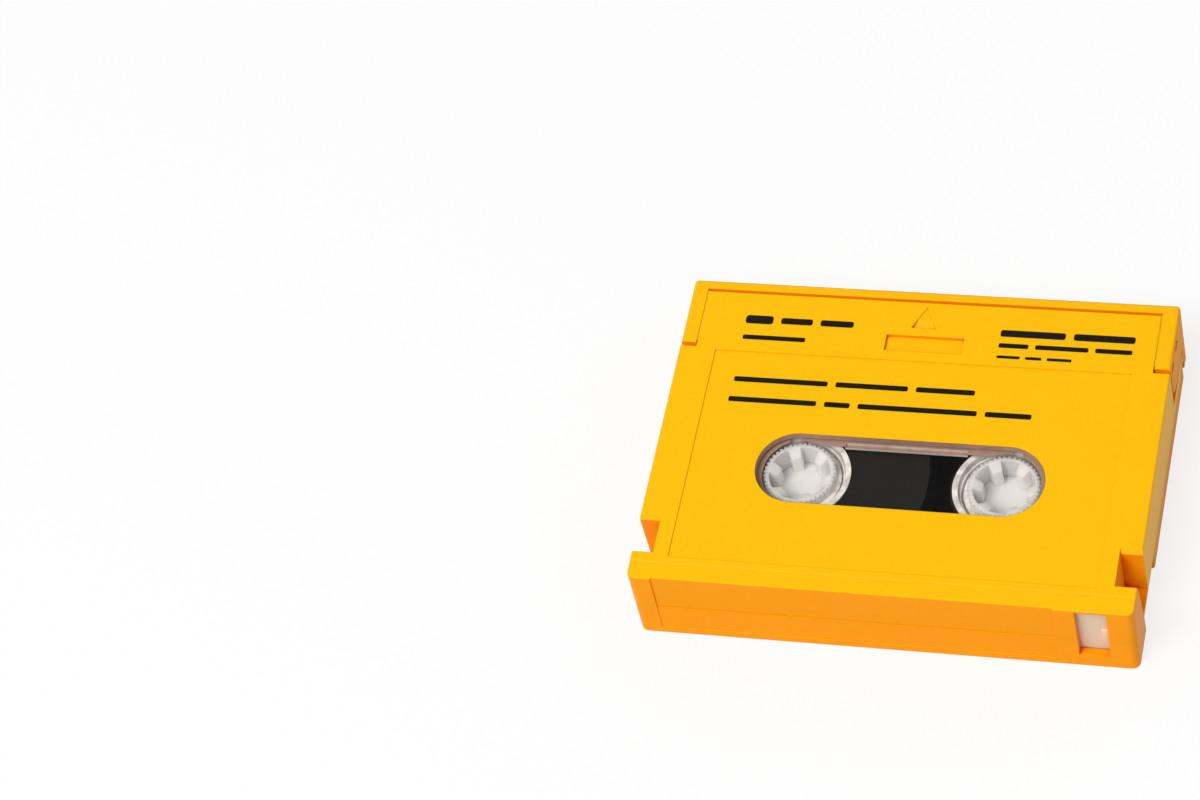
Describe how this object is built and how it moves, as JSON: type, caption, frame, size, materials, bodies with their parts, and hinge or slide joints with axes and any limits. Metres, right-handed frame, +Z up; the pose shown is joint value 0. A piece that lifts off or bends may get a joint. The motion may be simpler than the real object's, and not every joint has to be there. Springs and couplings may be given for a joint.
{
  "type": "data tape cartridge",
  "caption": "Data tape cartridge: case with window, sprung front lid, sliding bottom shutter, splined reels with a reel lock and a write-protect tab.",
  "frame": {"origin": "centre of the bounding box at the bottom face, which lies on the drive's deck", "axes": "+X to the right seen from the rear face, +Y from the rear face towards the lid, +Z up through the window"},
  "size_m": [0.073, 0.054, 0.0135],
  "materials": {
    "case": "satin moulded yellow plastic",
    "case_lower": "satin moulded orange plastic",
    "lid": "satin moulded yellow plastic",
    "slider": "satin moulded amber plastic",
    "window_clear": "clear polished plastic",
    "core_clear": "clear moulded plastic",
    "sheet_clear": "clear film",
    "hub_white": "white moulded plastic",
    "clamp_white": "white moulded plastic",
    "tape": "dark magnetic tape, wound smooth",
    "steel": "bright steel",
    "spring_steel": "spring steel",
    "lock_plastic": "pale moulded plastic",
    "tab_plastic": "pale moulded plastic"
  },
  "bodies": {
    "shell": {"upper_shell": "case", "lower_shell": "case_lower", "window_pane": "window_clear", "upper_liner": "sheet_clear", "lower_liner": "sheet_clear", "left_tape_guide": "steel", "right_tape_guide": "steel", "tape_span": "tape", "case_screws": "steel", "lid_spring": "spring_steel", "slider_spring": "spring_steel", "reel_lock_spring": "spring_steel"},
    "lid": {"front_lid": "lid"},
    "slider": {"bottom_slider": "slider"},
    "lock": {"reel_lock": "lock_plastic"},
    "write_tab": {"write_protect_tab": "tab_plastic"},
    "left_reel": {"left_hub": "hub_white", "left_core": "core_clear", "left_leader_clamp": "clamp_white", "left_tape_pack": "tape"},
    "right_reel": {"right_hub": "hub_white", "right_core": "core_clear", "right_leader_clamp": "clamp_white", "right_tape_pack": "tape"}
  },
  "joints": [
    {"name": "lid_hinge", "type": "hinge", "parent": "shell", "child": "lid", "pos_m": [0, 0.0196, 0.0118], "axis": [1, 0, 0], "range_deg": [0, 88], "stiffness_Nm_per_rad": 0.002, "springref_deg": -34.38, "deforming": ["lid_spring"]},
    {"name": "slider_slide", "type": "slide", "parent": "shell", "child": "slider", "axis": [0, -1, 0], "range_m": [0, 0.0095], "stiffness_N_per_m": 60, "springref_m": -0.005, "deforming": ["slider_spring"]},
    {"name": "lock_slide", "type": "slide", "parent": "shell", "child": "lock", "axis": [0, -1, 0], "range_m": [0, 0.00095], "stiffness_N_per_m": 20, "springref_m": -0.001, "deforming": ["reel_lock_spring"]},
    {"name": "write_tab_slide", "type": "slide", "parent": "shell", "child": "write_tab", "axis": [-1, 0, 0], "range_m": [0, 0.0034]},
    {"name": "left_reel_spin", "type": "hinge", "parent": "shell", "child": "left_reel", "pos_m": [-0.015, -0.0052, 0.006], "axis": [0, 0, 1], "continuous": true},
    {"name": "right_reel_spin", "type": "hinge", "parent": "shell", "child": "right_reel", "pos_m": [0.015, -0.0052, 0.006], "axis": [0, 0, 1], "continuous": true}
  ],
  "couplings": [
    {"joint": "lock_slide", "follows": "slider_slide", "ratio": 0.1},
    {"joint": "right_reel_spin", "follows": "left_reel_spin", "ratio": 2.3924}
  ]
}
